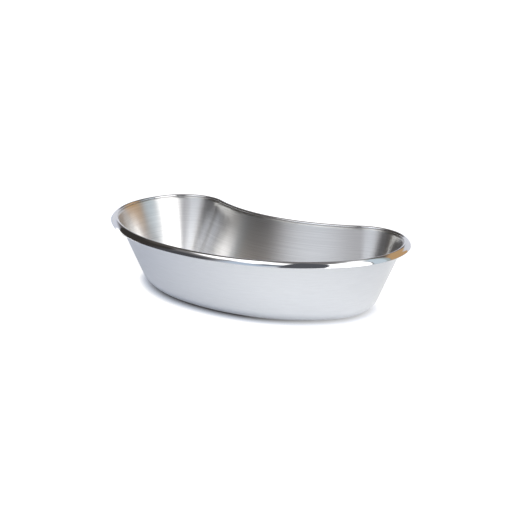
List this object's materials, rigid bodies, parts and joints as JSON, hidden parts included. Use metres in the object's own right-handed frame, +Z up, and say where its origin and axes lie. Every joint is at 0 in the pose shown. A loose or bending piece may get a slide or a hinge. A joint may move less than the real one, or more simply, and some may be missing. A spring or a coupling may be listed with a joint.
{
  "type": "kidney dish",
  "caption": "Kidney-shaped open stainless steel dish with a flat base, leaning walls and a polished turned-down rim.",
  "frame": {"origin": "middle of the dish's length and width, on the surface that it stands on", "axes": "+Z up; X along the length; the bulging front faces -Y and the hollow notch faces +Y"},
  "size_m": [0.25, 0.138, 0.053],
  "materials": {
    "satin_steel": "satin brushed stainless steel",
    "polished_steel": "mirror polished stainless steel"
  },
  "bodies": {
    "root": {"basin": "satin_steel", "rim": "polished_steel"}
  },
  "joints": []
}
